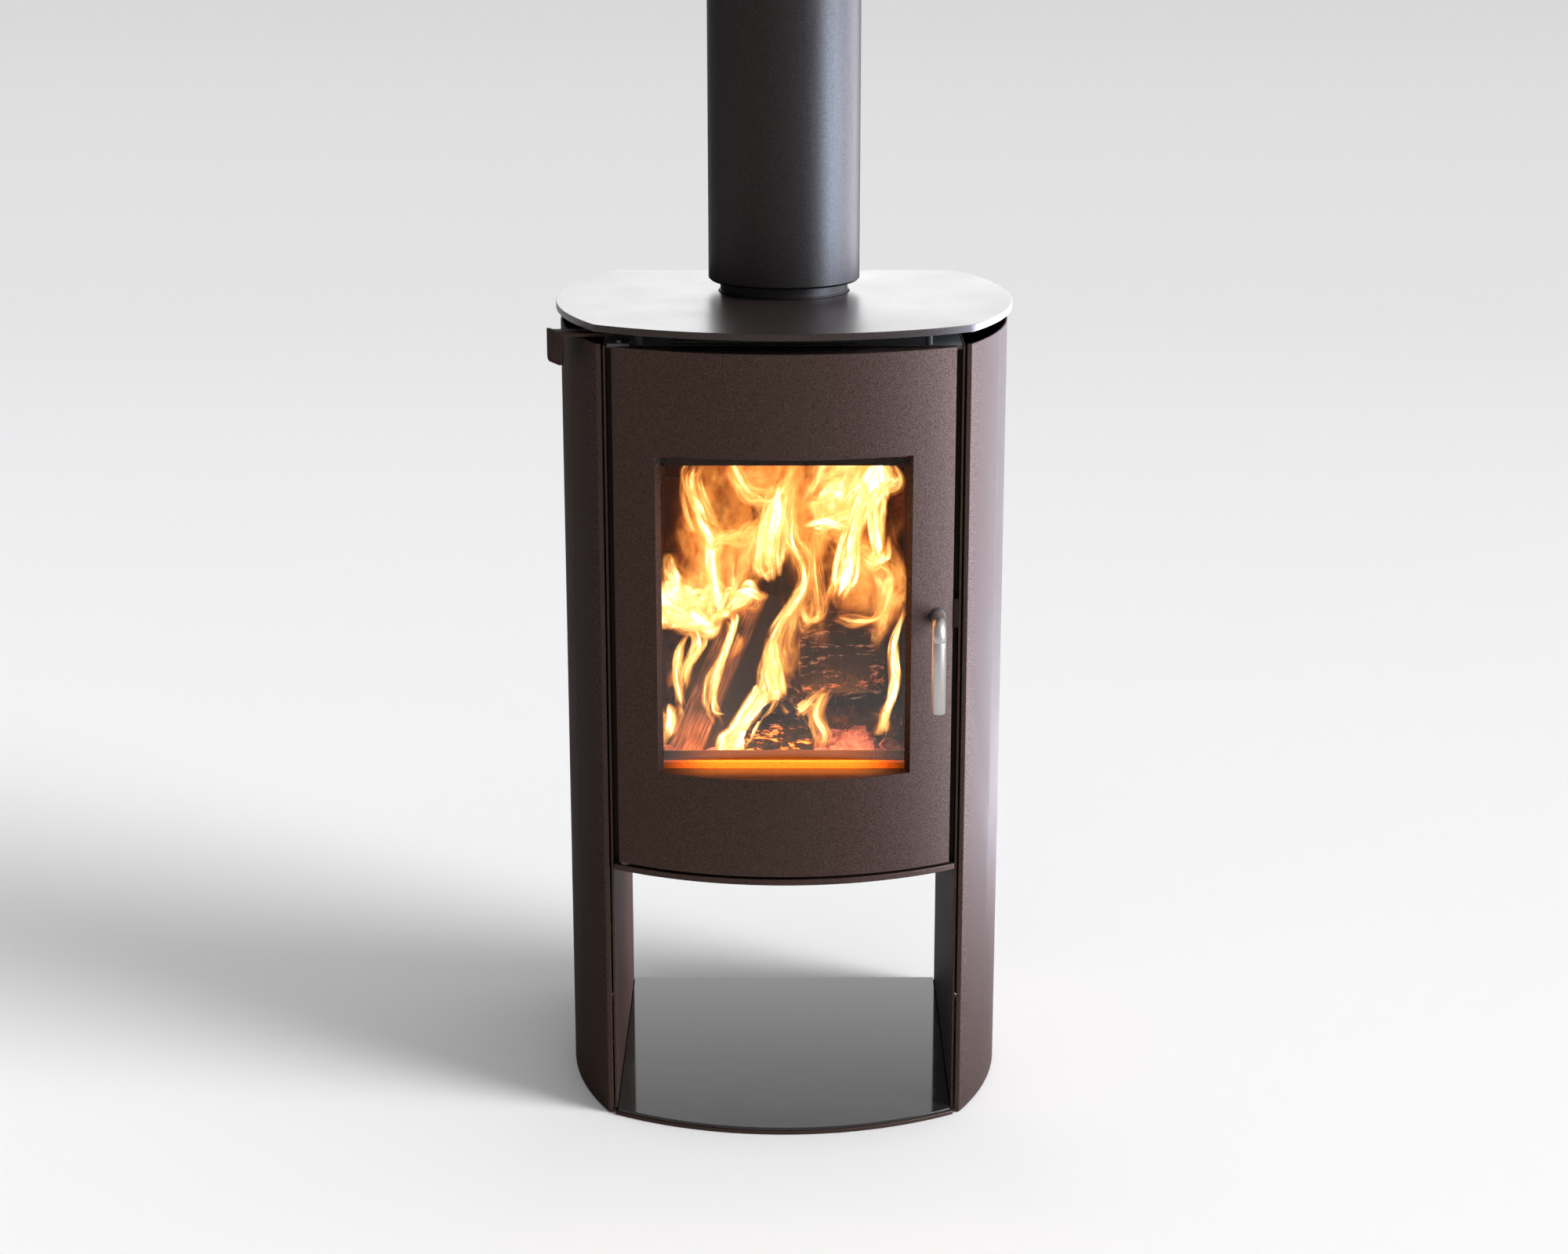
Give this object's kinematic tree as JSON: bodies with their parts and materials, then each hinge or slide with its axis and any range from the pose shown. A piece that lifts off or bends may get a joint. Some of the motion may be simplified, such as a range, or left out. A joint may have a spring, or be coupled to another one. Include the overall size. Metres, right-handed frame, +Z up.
{
  "type": "wood burning stove",
  "caption": "Free-standing wood burning stove with a rolled steel body, glazed hinged door, open log store, air lever and a top flue pipe.",
  "frame": {"origin": "on the flue's vertical axis, at floor level on the underside of the base plate", "axes": "+Z up along the flue, -Y towards the person in front of the door, +X to that person's right"},
  "size_m": [0.532, 0.466, 1.4575],
  "materials": {
    "body_paint": "fine-grained metallic brown-grey stove paint",
    "flue_paint": "satin dark grey stove paint",
    "black_glass": "mirror-like dark glass sheet",
    "raw_steel": "matt black heat-proof coating",
    "cast_iron": "sand-cast, sooty",
    "vermiculite": "pressed vermiculite board, sooty",
    "stainless": "brushed",
    "door_glass": "clear ceramic glass",
    "rope": "knitted glass-fibre rope",
    "zinc": "zinc plated"
  },
  "bodies": {
    "stove_body": {"base_plate": "body_paint", "base_glass": "black_glass", "left_leg_plate": "body_paint", "right_leg_plate": "body_paint", "left_side_panel": "body_paint", "right_side_panel": "body_paint", "left_panel_bracket_lower": "raw_steel", "left_panel_bracket_upper": "raw_steel", "right_panel_bracket_lower": "raw_steel", "right_panel_bracket_upper": "raw_steel", "top_plate": "body_paint", "top_spacer_front_left": "stainless", "top_spacer_front_right": "stainless", "top_spacer_rear_left": "stainless", "top_spacer_rear_right": "stainless", "firebox_floor_plate": "body_paint", "firebox_lid": "raw_steel", "firebox_front_frame": "body_paint", "firebox_left_wall": "raw_steel", "firebox_right_wall": "raw_steel", "firebox_back_wall": "raw_steel", "firebox_bottom": "raw_steel", "left_lining_brick": "vermiculite", "right_lining_brick": "vermiculite", "back_lining_brick": "vermiculite", "baffle_plate": "vermiculite", "hearth_plate": "raw_steel", "hearth_brick": "vermiculite", "grate": "cast_iron", "log_guard": "cast_iron", "rear_heat_shield": "body_paint", "air_inlet_spigot": "raw_steel", "flue_collar": "flue_paint", "flue_liner": "stainless", "flue_insulation": "rope", "flue_casing": "flue_paint", "upper_hinge_tab": "raw_steel", "upper_hinge_pin": "zinc", "lower_hinge_pin": "zinc", "lower_hinge_washer": "zinc", "latch_keeper": "zinc", "lever_pivot": "zinc"},
    "door": {"door_skin": "body_paint", "door_top_rail": "body_paint", "door_bottom_rail": "body_paint", "door_back_plate": "body_paint", "door_glass": "door_glass", "glass_gasket": "rope", "door_seal": "rope", "handle_bush": "cast_iron", "door_screw_1": "zinc", "door_screw_2": "zinc", "door_screw_3": "zinc", "door_screw_4": "zinc"},
    "handle": {"door_handle": "stainless", "handle_spindle": "zinc", "latch_tongue": "zinc"},
    "air_control": {"air_lever": "body_paint"},
    "shutter": {"air_shutter": "raw_steel"},
    "pan": {"ash_pan": "raw_steel"}
  },
  "joints": [
    {"name": "door_hinge", "type": "hinge", "parent": "stove_body", "child": "door", "pos_m": [-0.1825, -0.246, 0.6195], "axis": [0, 0, -1], "range_deg": [0, 105]},
    {"name": "handle_turn", "type": "hinge", "parent": "door", "child": "handle", "pos_m": [0.1728, -0.266, 0.616], "axis": [0, -1, 0], "range_deg": [0, 80]},
    {"name": "air_lever_swing", "type": "hinge", "parent": "stove_body", "child": "air_control", "pos_m": [-0.118, -0.182, 0.927], "axis": [0, 0, 1], "range_deg": [-12, 12]},
    {"name": "air_shutter_slide", "type": "slide", "parent": "stove_body", "child": "shutter", "axis": [1, 0, 0], "range_m": [-0.0084, 0.0084]},
    {"name": "ash_pan_slide", "type": "slide", "parent": "stove_body", "child": "pan", "axis": [0, -1, 0], "range_m": [0, 0.1285]}
  ],
  "couplings": [
    {"joint": "air_shutter_slide", "follows": "air_lever_swing", "m_per_rad": 0.04},
    {"joint": "ash_pan_slide", "follows": "door_hinge", "m_per_rad": 0.07}
  ]
}
